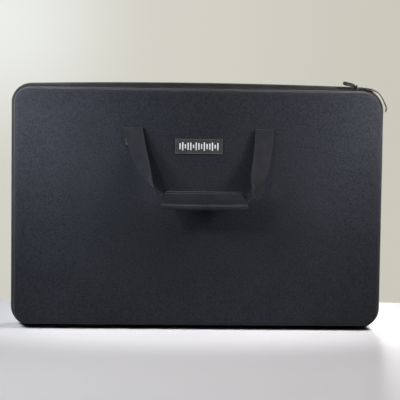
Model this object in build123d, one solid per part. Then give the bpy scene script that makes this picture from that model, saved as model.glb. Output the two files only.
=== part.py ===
from build123d import *
import math
import os

# A moulded carrying case for a DJ controller, standing on its hinge side.
# X runs along the case, -Y is the front (the lid), +Z is up. Millimetres.
# The origin is the middle of the flat standing face, on the floor.

# Shells. A depth is measured from the parting plane, negative towards the lid.
# A grow is how far an outline stands out past the outline of the lid's face.
PARTING_Y = -40.0
FACE_WIDTH = 761.0
FACE_TOP = 499.0
LID_LIFT = 10.0
LID_DEPTH = 50.0
BASE_DEPTH = 90.0
RIM_STEP = 11.5
LID_STEP = 3.5
BACK_STEP = 5.0
RIM_CROWN = 6.0
BACK_CROWN = 4.0
CORNER = 29.0
CORNER_SPREAD = 0.9
ZIP_CORNER_EXTRA = 10.0
LID_EDGE = -9.0
BASE_EDGE = 1.0
LID_ROUND = 10.0
BACK_ROUND = 12.0
WALL = 5.0
LINING = 1.5
BINDING = 1.5
BINDING_WIDTH = 8.0
FLOOR_CUT = 0.4
CORNER_CUT = 50.0

# Hinge fabric and zip.
HINGE_LENGTH = 510.0
LEAF = 1.15
LEAF_WIDTH = 30.0
LEAF_START = 1.6
LEAF_TURN = -2.8
LEAF_CLEAR = 0.05
RECESS_ROOM = 0.2
ZIP_END = 262.0
END_TAB = (5.0, 12.0)
TAPE = 1.0
TEETH = 2.4
TEETH_GAP = 0.8
TAPE_TUCK = 1.0

# Sliders.
SLIDER_LENGTH = 12.0
LEFT_SLIDER_X = 329.5
PIN_X = 3.4
PIN_Y = 1.7
PIN_HEIGHT = 5.7
LEFT_PIN_HEIGHT = 11.0
TAB_RING = 2.0
CORD_HOLE = 1.0
LEFT_TAB = 30.0
RIGHT_TAB = 19.0
LEFT_TAB_LIFT = 14.0
RIGHT_TAB_DROP = 12.0
FERRULE = (4.0, 6.4, 3.4)
STRAND = 1.5
CORD = 2.6

# Webbing handles, pads and badge.
WEBBING = 38.0
WEBBING_THICK = 2.0
ROOT_X = 136.0
ROOT_THICK = 2.0
FOLD_Z = 421.0
FOLD_OFF = 4.2
LEG_STATIONS = 8
GRIP_X = 11.0
GRIP_Z = 276.0
GRIP_OFF = 42.0
GRIP_TILT = 30.0
GRIP_HALF = 81.0
PAD_LENGTH = 150.0
PAD_WIDTH = 50.0
PAD_THICK = 6.2
FLAP_THICK = 5.0
STRAP_CLEAR = 1.3
STRIP = 5.0
STRIP_GAP = 0.15
REAR_OFF = 27.0
REAR_TILT = 52.0
BADGE = (99.0, 31.0, 2.2)
BADGE_Z = 384.0
BADGE_FRAME = 4.0
BADGE_SINK = 0.8
BAR_COUNT = 15
BAR_PITCH = 5.6
BAR_WIDTH = 2.6
PLATE_WIDTH = 52.0
PLATE_HEIGHT = 60.0

# Foam inside.
BOLSTER = 14.0
FLOOR_PAD = 12.0
LID_FOAM = 12.0
FOAM_GAP = 0.3
BOLSTER_START = 12.0
BOLSTER_ROOM = 40.0

HALF = FACE_WIDTH / 2
FRONT_Y = PARTING_Y - LID_DEPTH
BACK_Y = PARTING_Y + BASE_DEPTH


def corner_radius(grow):
    """Corner radius of an outline, rounder towards the rims."""
    return CORNER + CORNER_SPREAD * grow


def rim_bottom(grow):
    """Lower edge of a rim outline: the lid's edge is lifted, the base's is on the floor."""
    return LID_LIFT * (1 - grow / RIM_STEP)


def outline(grow, depth, bottom, crown=0.0):
    """Upright outline of the case, with a crowned top and rounded corners."""
    half = HALF + grow
    top = FACE_TOP + grow
    top_edge = Line((half, top), (-half, top))
    if crown:
        top_edge = ThreePointArc((half, top), (0, top + crown), (-half, top))
    edges = [
        Line((-half, bottom), (half, bottom)),
        Line((half, bottom), (half, top)),
        top_edge,
        Line((-half, top), (-half, bottom)),
    ]
    face = Face(Wire(edges))
    zip_corner = face.vertices().sort_by_distance((half, top))[0]
    face = face.fillet_2d(corner_radius(grow) + ZIP_CORNER_EXTRA, [zip_corner])
    spots = ((-half, top), (-half, bottom), (half, bottom))
    others = [face.vertices().sort_by_distance(spot)[0] for spot in spots]
    face = face.fillet_2d(corner_radius(grow), others)
    return Plane(origin=(0, PARTING_Y + depth, 0), x_dir=(1, 0, 0), z_dir=(0, -1, 0)) * face


def slab(depth_from, depth_to):
    """A block far wider than the case between two depths."""
    low = PARTING_Y + depth_from
    size = 1200.0
    block = Box(size, depth_to - depth_from, size * 2, align=(Align.CENTER, Align.MIN, Align.CENTER))
    return Pos(0, low, 0) * block


def hinge_side(half_length, height):
    """A block round the middle of the hinge side, where the zip stops."""
    return Pos(0, PARTING_Y, 0) * Box(2 * half_length, 80.0, 2 * height)


def base_block(inset, bottom):
    """The base's outer form, moved inwards by inset, with its underside at the height bottom."""
    rim = outline(RIM_STEP - inset, BASE_EDGE, bottom, RIM_CROWN)
    back = outline(BACK_STEP - inset, BASE_DEPTH - inset, bottom, BACK_CROWN)
    block = loft([rim, back], ruled=True)
    return fillet(block.faces().sort_by(Axis.Y)[-1].edges(), BACK_ROUND - inset)


def lid_block(inset):
    """The lid's outer form, moved inwards by inset."""
    rim = outline(LID_STEP - inset, LID_EDGE, rim_bottom(LID_STEP) + inset)
    face = outline(-inset, inset - LID_DEPTH, LID_LIFT + inset)
    block = loft([rim, face], ruled=True)
    return fillet(block.faces().sort_by(Axis.Y)[0].edges(), LID_ROUND - inset)


# The zip lies on a slanted band between the two rims.
BAND_LID = (LID_STEP - TAPE_TUCK, LID_EDGE)
BAND_BASE = (RIM_STEP - TAPE_TUCK, BASE_EDGE)
BAND_WIDTH = math.dist(BAND_LID, BAND_BASE)
BAND_ACROSS = (
    (BAND_BASE[0] - BAND_LID[0]) / BAND_WIDTH,
    (BAND_BASE[1] - BAND_LID[1]) / BAND_WIDTH,
)
BAND_MIDDLE = BAND_WIDTH / 2


def band_point(across):
    """Grow and depth of the band's middle surface, at a distance across from the lid's edge."""
    return (BAND_LID[0] + across * BAND_ACROSS[0], BAND_LID[1] + across * BAND_ACROSS[1])


def zip_ring(start, end, thick, crown_end=0.0):
    """A ring of the zip between two distances across the band, open at the hinge."""
    rise = thick / 2 / BAND_ACROSS[1]
    blocks = []
    for side in (rise, -rise):
        sections = []
        for across, crown in ((start, 0.0), (end, crown_end)):
            grow, depth = band_point(across)
            sections.append(outline(grow + side, depth, max(rim_bottom(grow + side), 0.0), crown))
        blocks.append(loft(sections, ruled=True))
    return blocks[0] - blocks[1] - hinge_side(ZIP_END, 30.0)


def hinge_leaf(section):
    """A strip of hinge fabric, from a closed outline of depth and height."""
    points = [(depth, height) for depth, height in section]
    face = make_face(Polyline(*points, close=True))
    upright = Plane(origin=(-HINGE_LENGTH / 2, PARTING_Y, 0), x_dir=(0, 1, 0), z_dir=(1, 0, 0))
    return extrude(upright * face, HINGE_LENGTH)


# The fabric's base half lies flush in the base, its lid half slants up to the lid's wall.
leaf_end = LEAF_START + LEAF_WIDTH
base_leaf = hinge_leaf([(LEAF_START, 0), (leaf_end, 0), (leaf_end, LEAF), (LEAF_START, LEAF)])
lid_wall_slope = (LID_LIFT - rim_bottom(LID_STEP)) / (LID_DEPTH + LID_EDGE)
leaf_top = rim_bottom(LID_STEP) - LEAF_CLEAR
leaf_low = LEAF + RECESS_ROOM
leaf_far = LID_EDGE - LEAF_WIDTH / 2
leaf_far_top = leaf_top + lid_wall_slope * LEAF_WIDTH / 2
lid_leaf = hinge_leaf(
    [
        (leaf_far, leaf_far_top),
        (LID_EDGE, leaf_top),
        (LEAF_TURN, leaf_low + LEAF),
        (LEAF_TURN, leaf_low),
        (LID_EDGE, leaf_top - LEAF),
        (leaf_far, leaf_far_top - LEAF),
    ]
)


# Base half.
under_floor = Box(2 * FACE_WIDTH, FACE_WIDTH, 100.0, align=(Align.CENTER, Align.CENTER, Align.MAX))
base_outer = base_block(0.0, -FLOOR_CUT) - under_floor
base_cavity = base_block(WALL, WALL)
base_binding = (base_outer - base_block(BINDING, BINDING)) & slab(BASE_EDGE, BASE_EDGE + BINDING_WIDTH)
base_binding -= hinge_side(ZIP_END, 20.0)
recess_reach = leaf_end + RECESS_ROOM
leaf_recess = Box(HINGE_LENGTH + 2 * RECESS_ROOM, 2 * recess_reach, 2 * (LEAF + LEAF_CLEAR))
leaf_recess = Pos(0, PARTING_Y, 0) * leaf_recess
base_lining = base_cavity - base_block(WALL + LINING, WALL + LINING)

# Lid half.
lid_outer = lid_block(0.0)
lid_cavity = lid_block(WALL)
lid_binding = (lid_outer - lid_block(BINDING)) & slab(LID_EDGE - BINDING_WIDTH, LID_EDGE)
lid_binding -= hinge_side(ZIP_END, 20.0)
lid_lining = lid_cavity - lid_block(WALL + LINING)

# Stiffening plates in the linings, behind the handle roots.
root_z = FOLD_Z - WEBBING / 2


def root_pair(y, size):
    """Two equal upright plates at the heights and places of the two handle roots."""
    return Part() + [Pos(side * ROOT_X, y, root_z) * Box(*size) for side in (-1, 1)]


plate = (PLATE_WIDTH, LINING, PLATE_HEIGHT)
lid_plates = root_pair(FRONT_Y + WALL + LINING / 2, plate)
base_plates = root_pair(BACK_Y - WALL - LINING / 2, plate)


def moulded(shell, plate_from, plate_to, walls_from, walls_to):
    """One moulding, cut into its flat plate, four straight walls and four corners for the collision model."""
    reach = FACE_WIDTH
    side_x = HALF - CORNER_CUT
    low_z = CORNER_CUT
    high_z = FACE_TOP - CORNER_CUT
    height = high_z - low_z
    walls = shell & slab(walls_from, walls_to)
    solids = [shell & slab(plate_from, plate_to)]
    middle_z = (high_z + low_z) / 2
    for side in (-1, 1):
        beside = Pos(side * (side_x + reach / 2), 0, middle_z)
        solids.append(walls & (beside * Box(reach, reach, height)))
        above = Pos(0, 0, middle_z + side * (height + reach) / 2)
        solids.append(walls & (above * Box(2 * side_x, reach, reach)))
        for level in (-1, 1):
            corner = Pos(side * (side_x + reach / 2), 0, middle_z + level * (height + reach) / 2)
            solids.append(walls & (corner * Box(reach, reach, reach)))
    return Compound([piece.solid() for piece in solids])


base_shell = base_outer - base_cavity - base_binding - leaf_recess
lid_shell = lid_outer - lid_cavity - lid_binding

# Zip: a tape and a row of teeth on each rim.
teeth_inner = BAND_MIDDLE - TEETH_GAP / 2
lid_tape = zip_ring(0.0, teeth_inner - TEETH, TAPE)
lid_teeth = zip_ring(teeth_inner - TEETH, teeth_inner, TEETH)
base_teeth = zip_ring(teeth_inner + TEETH_GAP, teeth_inner + TEETH_GAP + TEETH, TEETH)
base_tape = zip_ring(teeth_inner + TEETH_GAP + TEETH, BAND_WIDTH, TAPE, RIM_CROWN)

# Fabric tabs sewn over the two ends of the zip, on the base.
end_tab = Box(END_TAB[0], END_TAB[1], LEAF)
end_tab_x = ZIP_END - END_TAB[0] / 2 - 0.5
end_tab_y = PARTING_Y + END_TAB[1] / 2 + 2.0
end_tabs = Part() + [Pos(side * end_tab_x, end_tab_y, LEAF / 2) * end_tab for side in (-1, 1)]
base_shell -= end_tabs


# Sliders. Their local axes: X along the zip, Y across the band to the base, Z outwards.
middle_grow, middle_depth = band_point(BAND_MIDDLE)
BAND_Z = FACE_TOP + middle_grow
BAND_OUT = (0, -BAND_ACROSS[0], BAND_ACROSS[1])
BAND_TILT = math.degrees(math.asin(BAND_ACROSS[0]))
ZIP_CORNER_R = corner_radius(middle_grow) + ZIP_CORNER_EXTRA
RIGHT_SLIDER_X = HALF + middle_grow - ZIP_CORNER_R
ring_tool = Rot(90, 0, 0)


def band_plane(x):
    """The sliders' local frame on the straight top run."""
    return Plane(origin=(x, PARTING_Y + middle_depth, BAND_Z), x_dir=(1, 0, 0), z_dir=BAND_OUT)


def slab_between(x, y, z):
    """A block between pairs of local coordinates."""
    low = Pos(x[0], y[0], z[0])
    return low * Box(x[1] - x[0], y[1] - y[0], z[1] - z[0], align=(Align.MIN, Align.MIN, Align.MIN))


def slider(pin_height):
    """Slider body, with two ears and a pin for its pull tab."""
    end = SLIDER_LENGTH / 2
    plate = slab_between((-end, end), (-0.2, 3.6), (2.0, 3.4))
    plate = fillet(plate.edges().filter_by(Axis.Z), 1.5)
    blade = Rot(-BAND_TILT, 0, 0) * Box(7.0, 0.3, 5.8)
    keel = slab_between((-3.5, 3.5), (-2.6, 1.0), (-3.1, -2.1))
    ear_x = (PIN_X - 1.6, PIN_X + 1.6)
    ears = [slab_between(ear_x, (y, y + 0.6), (3.4, pin_height + 1.2)) for y in (-0.2, 3.0)]
    pin = Pos(PIN_X, PIN_Y, pin_height) * ring_tool * Cylinder(0.8, 3.6)
    return Part() + [plate, blade, keel, pin] + ears


def pull_tab(length):
    """Pull tab pointing along +X from its ring at the local origin, with a cord hole near its end."""
    ring = ring_tool * Cylinder(TAB_RING, 2.0)
    neck = slab_between((0, 7.0), (-1.0, 1.0), (-0.8, 0.8))
    grip = slab_between((6.0, length), (-3.2, 3.2), (-1.0, 1.0))
    grip = fillet(grip.edges().filter_by(Axis.Z), 2.4)
    tab = Part() + [ring, neck, grip]
    tab -= ring_tool * Cylinder(1.1, 3.2)
    return tab - Pos(length - 3.4, 0, 0) * Cylinder(CORD_HOLE, 4.0)


left_plane = band_plane(LEFT_SLIDER_X)
right_plane = band_plane(RIGHT_SLIDER_X)
left_slider = left_plane * slider(LEFT_PIN_HEIGHT)
right_slider = right_plane * slider(PIN_HEIGHT)
left_pin = Pos(PIN_X, PIN_Y, LEFT_PIN_HEIGHT)
left_tab = left_plane * left_pin * Rot(0, 180 + LEFT_TAB_LIFT, 0) * pull_tab(LEFT_TAB)
tab_frame = right_plane * Pos(PIN_X, PIN_Y, PIN_HEIGHT) * Rot(0, RIGHT_TAB_DROP, 0)
right_tab = tab_frame * pull_tab(RIGHT_TAB)


# Handles. A leg of webbing runs from the fold on the shell to the end of the grip,
# and turns a quarter about its own run on the way. Both legs and the run between
# them are one strap.
def leg_sections(side, front, shell_y, grip_centre, tilt):
    """Cross-sections of one leg, from the fold to the grip. side and front are -1 or 1, along X and Y."""
    fold = Vector(side * ROOT_X, shell_y + front * FOLD_OFF, FOLD_Z - 1.5)
    end = grip_centre + Vector(side * GRIP_HALF, 0, 0)
    path = Bezier(
        fold,
        fold + Vector(0, front * 6, -75),
        end + Vector(side * 26, -front * 3, 14),
        end,
    )
    inwards = Vector(-side, 0, 0)
    forwards = Vector(0, front * math.cos(math.radians(tilt)), -math.sin(math.radians(tilt)))
    sections = []
    for station in range(LEG_STATIONS + 1):
        run = station / LEG_STATIONS
        turn = math.radians(90 * run)
        tangent = path % run if station < LEG_STATIONS else inwards
        across = inwards * math.cos(turn) + forwards * math.sin(turn)
        across = (across - tangent * across.dot(tangent)).normalized()
        place = Plane(origin=path @ run, x_dir=across, z_dir=tangent * -side)
        sections.append(place * Rectangle(WEBBING, WEBBING_THICK))
    return sections


def handle(front, shell_y, centre, tilt):
    """A whole strap, lofted from one fold to the other."""
    left = leg_sections(-1, front, shell_y, centre, tilt)
    right = leg_sections(1, front, shell_y, centre, tilt)
    return loft(left + right[::-1], ruled=True)


def grip_plane(centre, front, tilt):
    """The grip's local frame: X along it, Y from its outer edge back to the shell, Z upwards."""
    upwards = (0, front * math.sin(math.radians(tilt)), math.cos(math.radians(tilt)))
    return Plane(origin=centre, x_dir=(-front, 0, 0), z_dir=upwards)


front_centre = Vector(GRIP_X, FRONT_Y - GRIP_OFF, GRIP_Z)
rear_centre = Vector(0, BACK_Y + REAR_OFF, GRIP_Z)
front_strap = handle(-1, FRONT_Y, front_centre, GRIP_TILT)
rear_strap = handle(1, BACK_Y, rear_centre, REAR_TILT)
patch = (WEBBING, ROOT_THICK, WEBBING)
front_roots = root_pair(FRONT_Y - ROOT_THICK / 2, patch)
rear_roots = root_pair(BACK_Y + ROOT_THICK / 2, patch)

# Grip wrap: a pad above the strap and a flap below, closed at the front by hook and loop strips.
grip = grip_plane(front_centre, -1, GRIP_TILT)
grip_pad = Pos(0, 0, STRAP_CLEAR + PAD_THICK / 2) * Box(PAD_LENGTH, PAD_WIDTH, PAD_THICK)
grip_pad = grip * fillet(grip_pad.edges().filter_by(Axis.X).sort_by(Axis.Z)[-2:], 4.0)
grip_flap = Pos(0, -0.5, -STRAP_CLEAR - FLAP_THICK / 2) * Box(PAD_LENGTH, PAD_WIDTH - 1, FLAP_THICK)
grip_flap = grip * fillet(grip_flap.edges().filter_by(Axis.X).sort_by(Axis.Z)[:2], 3.0)
strip_y = -PAD_WIDTH / 2 + STRIP / 2
strip = Box(PAD_LENGTH - 10, STRIP, STRAP_CLEAR - STRIP_GAP)
strip_middle = (STRAP_CLEAR + STRIP_GAP) / 2
loop_strip = grip * Pos(0, strip_y, strip_middle) * strip
hook_strip = grip * Pos(0, strip_y, -strip_middle) * strip

# Badge: a framed plate with a row of plain bars of changing height.
badge_plate = Pos(0, FRONT_Y - BADGE[2] / 2, BADGE_Z) * Box(BADGE[0], BADGE[2], BADGE[1])
badge_plate = fillet(badge_plate.edges().filter_by(Axis.Y), 2.0)
badge_window = Box(BADGE[0] - 2 * BADGE_FRAME, 2 * BADGE_SINK, BADGE[1] - 2 * BADGE_FRAME)
badge_plate -= Pos(0, FRONT_Y - BADGE[2], BADGE_Z) * badge_window
bars = []
for number in range(BAR_COUNT):
    bar_height = 6.0 + 11.0 * abs(math.sin(1.15 * number + 0.6))
    bar_x = (number - (BAR_COUNT - 1) / 2) * BAR_PITCH
    place = Pos(bar_x, FRONT_Y - BADGE[2] + BADGE_SINK / 2, BADGE_Z)
    bars.append(place * Box(BAR_WIDTH, BADGE_SINK, bar_height))
badge_bars = Part() + bars

# Foam: a floor pad and four bolsters in the base, a thick pad in the lid.
inner_half = HALF + BACK_STEP - WALL - LINING - 2.0
inner_top = FACE_TOP + BACK_STEP - WALL - LINING - 1.0
inner_bottom = WALL + LINING + 1.0
pad_back = BACK_Y - WALL - LINING - FOAM_GAP
bolster_front = PARTING_Y + BOLSTER_START
bolster_back = pad_back - FLOOR_PAD - FOAM_GAP
bolster_depth = bolster_back - bolster_front
bolster_y = (bolster_back + bolster_front) / 2
middle_z = (inner_top + inner_bottom) / 2
inner_height = inner_top - inner_bottom
floor_pad = Box(2 * inner_half - 16, FLOOR_PAD, inner_height - 16)
floor_pad = Pos(0, pad_back - FLOOR_PAD / 2, middle_z) * floor_pad
floor_pad = fillet(floor_pad.edges().filter_by(Axis.Y), 30.0)


def level_bolster(z):
    """A foam block along the top or the bottom of the base."""
    block = Pos(0, bolster_y, z) * Box(2 * (inner_half - BOLSTER_ROOM), bolster_depth, BOLSTER)
    return fillet(block.edges().filter_by(Axis.X), 3.0)


def upright_bolster(x):
    """A foam block along one end of the base."""
    block = Pos(x, bolster_y, middle_z) * Box(BOLSTER, bolster_depth, inner_height - 2 * BOLSTER_ROOM)
    return fillet(block.edges().filter_by(Axis.Z), 3.0)


skin = 2 * (WALL + LINING)
lid_foam = Box(FACE_WIDTH - skin - 16, LID_FOAM, FACE_TOP - LID_LIFT - skin - 14)
lid_foam_y = FRONT_Y + WALL + LINING + FOAM_GAP + LID_FOAM / 2
lid_foam = Pos(0, lid_foam_y, (FACE_TOP + LID_LIFT) / 2) * lid_foam
lid_foam = fillet(lid_foam.edges().filter_by(Axis.Y), 22.0)

# Pull cord of the right slider: a doubled loop over the case's corner. It leaves a ferrule
# on the tab's end, runs past the corner, folds and comes back to the ferrule.
ferrule_end = RIGHT_TAB + FERRULE[0]
cord_ferrule = Pos(RIGHT_TAB + FERRULE[0] / 2, 0, 0) * Box(*FERRULE)
cord_ferrule = tab_frame * fillet(cord_ferrule.edges().filter_by(Axis.X), 1.2)
cord_out = (tab_frame * Pos(ferrule_end, STRAND, 0)).position
cord_back = (tab_frame * Pos(ferrule_end, -STRAND, 0)).position
CORD_ROUTE = [
    cord_out,
    (376.0, -41.9, 506.0),
    (383.4, -42.6, 499.6),
    (389.6, -42.8, 490.6),
    (394.6, -42.6, 480.4),
    (398.9, -42.0, 470.4),
    (397.2, -42.0, 462.6),
    (396.6, -48.2, 462.2),
    (398.6, -48.0, 470.2),
    (394.1, -47.4, 480.3),
    (389.0, -47.0, 490.2),
    (382.9, -46.4, 499.0),
    (375.7, -45.0, 505.0),
    cord_back,
]


def cord_tube(points, diameter):
    """A tube along straight runs joined by arcs, each as large as its two runs allow."""
    route = [Vector(point) for point in points]
    radii = []
    for before, here, after in zip(route, route[1:], route[2:]):
        turn = math.radians((here - before).get_angle(after - here))
        shorter = min((here - before).length, (after - here).length)
        radii.append(0.45 * shorter / math.tan(turn / 2))
    path = FilletPolyline(*route, radius=radii)
    section = Plane(origin=path @ 0, z_dir=path % 0) * Circle(diameter / 2)
    print("cord radii in diameters", [round(radius / diameter, 1) for radius in radii])
    return sweep(section, path=path)


pull_cord = cord_tube(CORD_ROUTE, CORD)

nodes = {
    "base_shell": moulded(base_shell, BASE_DEPTH - WALL, BASE_DEPTH, BASE_EDGE, BASE_DEPTH - WALL),
    "base_lining": base_lining - base_plates,
    "base_rim_binding": base_binding,
    "base_zip_tape": base_tape,
    "base_zip_teeth": base_teeth,
    "base_hinge_fabric": base_leaf,
    "base_handle_plates": base_plates,
    "base_floor_pad": floor_pad,
    "top_foam_bolster": level_bolster(inner_top - BOLSTER / 2),
    "bottom_foam_bolster": level_bolster(inner_bottom + BOLSTER / 2),
    "left_foam_bolster": upright_bolster(-inner_half + BOLSTER / 2),
    "right_foam_bolster": upright_bolster(inner_half - BOLSTER / 2),
    "zip_end_tabs": end_tabs,
    "rear_handle_roots": rear_roots,
    "rear_handle_strap": rear_strap,
    "lid_shell": moulded(lid_shell, -LID_DEPTH, WALL - LID_DEPTH, WALL - LID_DEPTH, LID_EDGE),
    "lid_lining": lid_lining - lid_plates,
    "lid_rim_binding": lid_binding,
    "lid_zip_tape": lid_tape,
    "lid_zip_teeth": lid_teeth,
    "lid_hinge_fabric": lid_leaf,
    "lid_handle_plates": lid_plates,
    "lid_foam_pad": lid_foam,
    "badge_plate": badge_plate,
    "badge_bars": badge_bars,
    "front_handle_roots": front_roots,
    "front_handle_strap": front_strap,
    "grip_pad": grip_pad,
    "grip_flap": grip_flap,
    "loop_strip": loop_strip,
    "hook_strip": hook_strip,
    "left_slider": left_slider,
    "right_slider": right_slider,
    "left_pull_tab": left_tab,
    "right_pull_tab": right_tab,
    "cord_ferrule": cord_ferrule,
    "pull_cord": pull_cord,
}

os.makedirs("parts", exist_ok=True)
for name, shape in nodes.items():
    export_step(shape, f"parts/{name}.step")
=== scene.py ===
import math

import bmesh
import bpy
from mathutils import Matrix, Vector


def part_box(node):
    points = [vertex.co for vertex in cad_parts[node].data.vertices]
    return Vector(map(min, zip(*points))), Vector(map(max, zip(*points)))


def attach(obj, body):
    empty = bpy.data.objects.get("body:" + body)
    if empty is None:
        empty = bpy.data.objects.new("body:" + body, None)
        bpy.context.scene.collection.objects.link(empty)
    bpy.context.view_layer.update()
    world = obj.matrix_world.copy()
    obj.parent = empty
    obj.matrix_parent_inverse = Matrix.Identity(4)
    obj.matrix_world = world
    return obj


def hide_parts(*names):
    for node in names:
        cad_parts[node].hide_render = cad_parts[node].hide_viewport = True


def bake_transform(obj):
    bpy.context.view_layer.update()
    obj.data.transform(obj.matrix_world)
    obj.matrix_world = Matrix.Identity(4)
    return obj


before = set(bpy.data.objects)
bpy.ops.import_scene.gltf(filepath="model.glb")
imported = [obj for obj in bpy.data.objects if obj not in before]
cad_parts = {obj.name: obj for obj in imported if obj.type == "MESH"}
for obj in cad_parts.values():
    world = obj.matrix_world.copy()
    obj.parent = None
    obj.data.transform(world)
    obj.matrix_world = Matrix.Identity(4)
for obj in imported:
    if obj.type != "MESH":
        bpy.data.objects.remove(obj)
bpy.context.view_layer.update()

MM = 0.001

# The case's main sizes, in metres. A depth is measured from the parting plane, negative
# towards the lid. A grow is how far an outline stands out past the lid's face.
PARTING_Y = -0.040
HALF = 0.3805
FACE_TOP = 0.499
LID_LIFT = 0.010
LID_DEPTH = 0.050
BASE_DEPTH = 0.090
RIM_STEP = 0.0115
LID_STEP = 0.0035
RIM_CROWN = 0.006
CROWN_REACH = 0.05
CORNER = 0.029
CORNER_SPREAD = 0.9
ZIP_CORNER_EXTRA = 0.010
LID_EDGE = -0.009
BASE_EDGE = 0.001
LID_ROUND = 0.0095
BACK_ROUND = 0.0115
FACE_CROWN = 0.0016
WALL = 0.005
LINING = 0.0015
ZIP_END = 0.262
HINGE_HALF = 0.255
FRONT_Y = PARTING_Y - LID_DEPTH
BACK_Y = PARTING_Y + BASE_DEPTH


# ---------------------------------------------------------------- finishes


class Number:
    """A number socket. Arithmetic on it adds Math nodes."""

    def __init__(self, finish, socket):
        self.finish = finish
        self.socket = socket

    def _math(self, operation, *values):
        return self.finish.node("ShaderNodeMath", {"operation": operation}, list(values))

    def __add__(self, other):
        return self._math("ADD", self, other)

    __radd__ = __add__

    def __mul__(self, other):
        return self._math("MULTIPLY", self, other)

    __rmul__ = __mul__

    def __sub__(self, other):
        return self._math("SUBTRACT", self, other)

    def __rsub__(self, other):
        return self._math("SUBTRACT", other, self)

    def __truediv__(self, other):
        return self._math("DIVIDE", self, other)

    def __abs__(self):
        return self._math("ABSOLUTE", self)

    def sine(self):
        return self._math("SINE", self)

    def smooth(self, low, high):
        values = {"Value": self, "From Min": low, "From Max": high}
        return self.finish.node("ShaderNodeMapRange", {"interpolation_type": "SMOOTHSTEP"}, values)


class Finish:
    """A material and its nodes."""

    def __init__(self, name):
        self.material = bpy.data.materials.new(name)
        self.material.use_nodes = True
        self.tree = self.material.node_tree
        self.tree.nodes.clear()
        self.skin = self.tree.nodes.new("ShaderNodeBsdfPrincipled")
        out = self.tree.nodes.new("ShaderNodeOutputMaterial")
        self.tree.links.new(self.skin.outputs[0], out.inputs[0])

    def plug(self, socket, value):
        if isinstance(value, Number):
            self.tree.links.new(value.socket, socket)
        else:
            socket.default_value = value

    def node(self, kind, settings=None, values=None, output=0):
        """Adds a node with its settings, then its values or links, and returns one output."""
        made = self.tree.nodes.new(kind)
        for name, value in (settings or {}).items():
            if name == "stops":
                ramp = made.color_ramp
                while len(ramp.elements) < len(value):
                    ramp.elements.new(0.5)
                for element, (place, shade) in zip(ramp.elements, value):
                    element.position = place
                    element.color = shade
            else:
                setattr(made, name, value)
        pairs = enumerate(values) if isinstance(values, list) else (values or {}).items()
        for name, value in pairs:
            self.plug(made.inputs[name], value)
        return Number(self, made.outputs[output])

    def coordinates(self, uv=False):
        """Object coordinates, or the piece's own UV map, as x, y and z numbers and as a vector."""
        kind = "UV" if uv else "Object"
        vector = self.node("ShaderNodeTexCoord", output=kind)
        split = self.tree.nodes.new("ShaderNodeSeparateXYZ")
        self.plug(split.inputs[0], vector)
        return [Number(self, out) for out in split.outputs], vector

    def facing(self):
        """The surface normal's x, y and z in the piece's own space, so that it turns with the piece."""
        normal = self.node("ShaderNodeTexCoord", output="Normal")
        split = self.tree.nodes.new("ShaderNodeSeparateXYZ")
        self.plug(split.inputs[0], normal)
        return [Number(self, out) for out in split.outputs]

    def noise(self, vector, scale, detail=3.0, rough=0.55):
        values = {"Vector": vector, "Scale": scale, "Detail": detail, "Roughness": rough}
        return self.node("ShaderNodeTexNoise", {}, values)

    def cells(self, vector, scale):
        return self.node("ShaderNodeTexVoronoi", {}, {"Vector": vector, "Scale": scale})

    def blend(self, share, dark, light):
        """A colour between two colours."""
        values = {"Factor": share, "A": dark, "B": light}
        made = self.tree.nodes.new("ShaderNodeMix")
        made.data_type = "RGBA"
        for name, value in values.items():
            socket = [s for s in made.inputs if s.name == name and s.enabled][0]
            self.plug(socket, value)
        return Number(self, [s for s in made.outputs if s.enabled][0])

    def bump(self, height, distance, strength=1.0, before=None):
        values = {"Height": height, "Distance": distance, "Strength": strength}
        if before is not None:
            values["Normal"] = before
        return self.node("ShaderNodeBump", {}, values)

    def done(self, colour, roughness, normal=None, metallic=0.0, sheen=0.0, coat=0.0, level=0.5):
        inputs = self.skin.inputs
        self.plug(inputs["Base Color"], colour)
        self.plug(inputs["Roughness"], roughness)
        self.plug(inputs["Metallic"], metallic)
        inputs["Sheen Weight"].default_value = sheen
        inputs["Sheen Roughness"].default_value = 0.5
        inputs["Coat Weight"].default_value = coat
        inputs["Specular IOR Level"].default_value = level
        if normal is not None:
            self.plug(inputs["Normal"], normal)
        return self.material


def grey(value, warm=0.0):
    """A grey, a little warmer or bluer."""
    return (value * (1 + warm), value, value * (1 - warm), 1.0)


def woven(finish, pitch):
    """Height of a plain weave that runs with the faces of an upright box, whatever way they face."""
    (x, y, z), vector = finish.coordinates()
    across, along, up = finish.facing()
    turns = math.pi / pitch

    def weave(a, b):
        return (a * turns).sine() * (b * turns).sine()

    front = weave(x, z) * along * along
    side = weave(y, z) * across * across
    top = weave(x, y) * up * up
    return front + side + top, vector


def shell_cloth():
    finish = Finish("shell_cloth")
    weave, vector = woven(finish, 1.1 * MM)
    grain = finish.noise(vector, 420.0, 4.0, 0.7)
    patches = finish.noise(vector, 7.0, 3.0, 0.5)
    fibres = finish.noise(vector, 1500.0, 2.0, 0.6)
    blotches = finish.noise(vector, 300.0, 2.0, 0.65)
    tone = grain * 0.75 + patches * 0.22 + fibres * 0.35 + blotches * 0.75 + weave * 0.06
    shade = (tone - 0.62).smooth(0.05, 0.75)
    colour = finish.blend(shade, (0.0036, 0.0040, 0.0055, 1), (0.0206, 0.0224, 0.0285, 1))
    dust = finish.cells(vector, 95.0)
    lint = (0.06 - dust) * 9.0
    colour = finish.blend(lint.smooth(0.0, 1.0) * 0.10, colour, (0.28, 0.28, 0.28, 1))
    height = weave * 0.35 + grain * 0.9 + fibres * 0.3
    fine = finish.bump(height, 0.35 * MM, 0.75)
    soft = finish.bump(patches, 1.6 * MM, 0.35, fine)
    return finish.done(colour, 0.72 + grain * 0.16, soft, sheen=0.05, level=0.10)


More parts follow.
